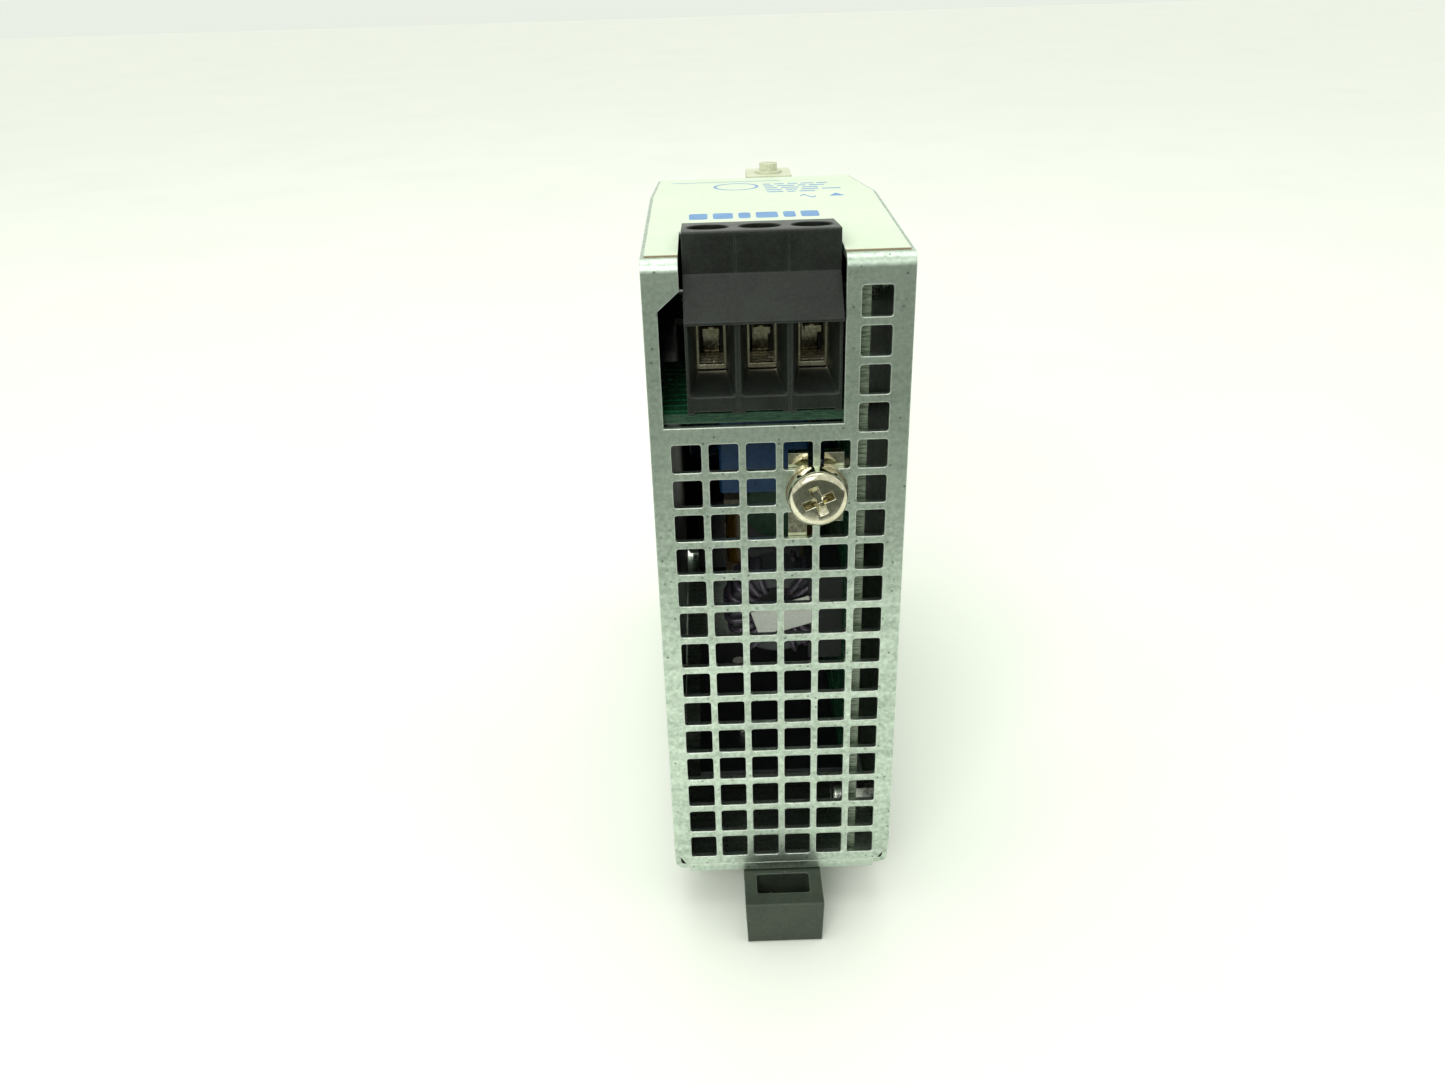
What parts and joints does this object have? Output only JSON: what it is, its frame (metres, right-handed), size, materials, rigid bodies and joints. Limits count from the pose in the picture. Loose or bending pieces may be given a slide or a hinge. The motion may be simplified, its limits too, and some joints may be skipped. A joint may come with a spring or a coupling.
{
  "type": "din rail power supply",
  "caption": "Slim switching power supply in a perforated folded steel case with screw terminals at both ends and a sprung DIN rail latch on its back.",
  "frame": {"origin": "centre of the seat that lies against the face of the DIN rail", "axes": "+Z out of the front panel, away from the rail; -Y towards the input end with the latch tab; +X towards the side that carries the main board"},
  "size_m": [0.04, 0.1352, 0.1282],
  "materials": {
    "galvanised_steel": "spangled zinc coat",
    "printed_label": "satin printed polyester film",
    "zinc_plated_screws": "bright zinc",
    "black_polyamide": "moulded, fine grain",
    "olive_black_latch": "moulded acetal, satin",
    "spring_steel": "drawn wire",
    "nickel_plated_steel": "nickel",
    "tinned_brass": "nickel over brass",
    "green_board": "solder mask over glass epoxy",
    "clear_foil": "thin flame retardant film",
    "blue_epoxy": "potted box",
    "fuse_glass": "clear tube",
    "varistor_blue": "epoxy dip",
    "thermistor_green": "silicone dip",
    "ferrite": "sintered",
    "former_plastic": "moulded phenolic",
    "black_phenolic": "moulded phenolic",
    "enamelled_copper": "enamelled wire",
    "white_paper": "blank label",
    "capacitor_sleeve": "shrink sleeve",
    "anodised_aluminium": "plain",
    "device_epoxy": "moulded",
    "yellow_tape": "polyester tape",
    "iron_powder": "painted ring",
    "y_capacitor_blue": "epoxy dip",
    "trimmer_plastic": "moulded",
    "led_green": "diffused"
  },
  "bodies": {
    "housing": {"board_links": "tinned_brass", "board_screws": "zinc_plated_screws", "board_standoffs": "zinc_plated_screws", "bracket_screws": "zinc_plated_screws", "bulk_capacitor": "capacitor_sleeve", "chassis": "galvanised_steel", "choke_base": "black_phenolic", "choke_core": "ferrite", "choke_label": "white_paper", "choke_windings": "enamelled_copper", "control_chips": "device_epoxy", "cover_screws": "zinc_plated_screws", "device_screws": "zinc_plated_screws", "earth_nut_plate": "nickel_plated_steel", "front_cover": "galvanised_steel", "front_label": "printed_label", "fuse": "fuse_glass", "fuse_clips": "tinned_brass", "input_board": "green_board", "input_contacts": "tinned_brass", "input_terminal_block": "black_polyamide", "insulating_sheet": "clear_foil", "latch_spring": "spring_steel", "main_board": "green_board", "output_board": "green_board", "output_capacitors": "capacitor_sleeve", "output_choke_core": "iron_powder", "output_choke_winding": "enamelled_copper", "output_contacts": "tinned_brass", "output_terminal_block": "black_polyamide", "primary_devices": "device_epoxy", "primary_heat_sink": "anodised_aluminium", "rail_bracket": "black_polyamide", "secondary_devices": "device_epoxy", "secondary_heat_sink": "anodised_aluminium", "status_led": "led_green", "thermistor": "thermistor_green", "transformer_bobbin": "former_plastic", "transformer_core": "ferrite", "transformer_winding": "yellow_tape", "trimmer_body": "trimmer_plastic", "varistor": "varistor_blue", "x2_capacitor": "blue_epoxy", "y_capacitors": "y_capacitor_blue"},
    "latch": {"latch_slider": "olive_black_latch"},
    "earth_washer": {"earth_washer": "nickel_plated_steel"},
    "earth_screw": {"earth_screw": "nickel_plated_steel"},
    "trimmer_rotor": {"trimmer_rotor": "trimmer_plastic"},
    "input_screw_1": {"input_screw_1": "nickel_plated_steel"},
    "input_cage_1": {"input_cage_1": "tinned_brass"},
    "input_screw_2": {"input_screw_2": "nickel_plated_steel"},
    "input_cage_2": {"input_cage_2": "tinned_brass"},
    "input_screw_3": {"input_screw_3": "nickel_plated_steel"},
    "input_cage_3": {"input_cage_3": "tinned_brass"},
    "output_screw_1": {"output_screw_1": "nickel_plated_steel"},
    "output_cage_1": {"output_cage_1": "tinned_brass"},
    "output_screw_2": {"output_screw_2": "nickel_plated_steel"},
    "output_cage_2": {"output_cage_2": "tinned_brass"},
    "output_screw_3": {"output_screw_3": "nickel_plated_steel"},
    "output_cage_3": {"output_cage_3": "tinned_brass"}
  },
  "joints": [
    {"name": "latch_slide", "type": "slide", "parent": "housing", "child": "latch", "axis": [0, -1, 0], "range_m": [0, 0.005], "stiffness_N_per_m": 1500, "springref_m": -0.006, "deforming": ["latch_spring"]},
    {"name": "input_screw_1_turn", "type": "hinge", "parent": "housing", "child": "input_screw_1", "pos_m": [-0.01005, -0.0525, 0.1212], "axis": [0, 0, -1], "range_deg": [0, 1440]},
    {"name": "input_cage_1_lift", "type": "slide", "parent": "housing", "child": "input_cage_1", "axis": [0, 0, 1], "range_m": [0, 0.0028]},
    {"name": "input_screw_2_turn", "type": "hinge", "parent": "housing", "child": "input_screw_2", "pos_m": [-0.0022, -0.0525, 0.1212], "axis": [0, 0, -1], "range_deg": [0, 1440]},
    {"name": "input_cage_2_lift", "type": "slide", "parent": "housing", "child": "input_cage_2", "axis": [0, 0, 1], "range_m": [0, 0.0028]},
    {"name": "input_screw_3_turn", "type": "hinge", "parent": "housing", "child": "input_screw_3", "pos_m": [0.00565, -0.0525, 0.1212], "axis": [0, 0, -1], "range_deg": [0, 1440]},
    {"name": "input_cage_3_lift", "type": "slide", "parent": "housing", "child": "input_cage_3", "axis": [0, 0, 1], "range_m": [0, 0.0028]},
    {"name": "output_screw_1_turn", "type": "hinge", "parent": "housing", "child": "output_screw_1", "pos_m": [-0.01005, 0.0525, 0.1069], "axis": [0, 0, -1], "range_deg": [0, 1440]},
    {"name": "output_cage_1_lift", "type": "slide", "parent": "housing", "child": "output_cage_1", "axis": [0, 0, 1], "range_m": [0, 0.0028]},
    {"name": "output_screw_2_turn", "type": "hinge", "parent": "housing", "child": "output_screw_2", "pos_m": [-0.0022, 0.0525, 0.1069], "axis": [0, 0, -1], "range_deg": [0, 1440]},
    {"name": "output_cage_2_lift", "type": "slide", "parent": "housing", "child": "output_cage_2", "axis": [0, 0, 1], "range_m": [0, 0.0028]},
    {"name": "output_screw_3_turn", "type": "hinge", "parent": "housing", "child": "output_screw_3", "pos_m": [0.00565, 0.0525, 0.1069], "axis": [0, 0, -1], "range_deg": [0, 1440]},
    {"name": "output_cage_3_lift", "type": "slide", "parent": "housing", "child": "output_cage_3", "axis": [0, 0, 1], "range_m": [0, 0.0028]},
    {"name": "earth_washer_slide", "type": "slide", "parent": "housing", "child": "earth_washer", "axis": [0, -1, 0], "range_m": [0, 0.0014]},
    {"name": "earth_screw_turn", "type": "hinge", "parent": "earth_washer", "child": "earth_screw", "pos_m": [0.0058, -0.0626, 0.0841], "axis": [0, -1, 0], "range_deg": [0, 720]},
    {"name": "trimmer_turn", "type": "hinge", "parent": "housing", "child": "trimmer_rotor", "pos_m": [0.0034, 0.0301, 0.1165], "axis": [0, 0, 1], "range_deg": [-130, 130]}
  ],
  "couplings": [
    {"joint": "input_screw_1_turn", "follows": "input_cage_1_lift", "rad_per_m": 8975.1},
    {"joint": "input_screw_2_turn", "follows": "input_cage_2_lift", "rad_per_m": 8975.1},
    {"joint": "input_screw_3_turn", "follows": "input_cage_3_lift", "rad_per_m": 8975.1},
    {"joint": "output_screw_1_turn", "follows": "output_cage_1_lift", "rad_per_m": 8975.1},
    {"joint": "output_screw_2_turn", "follows": "output_cage_2_lift", "rad_per_m": 8975.1},
    {"joint": "output_screw_3_turn", "follows": "output_cage_3_lift", "rad_per_m": 8975.1},
    {"joint": "earth_screw_turn", "follows": "earth_washer_slide", "rad_per_m": 8975.1}
  ]
}
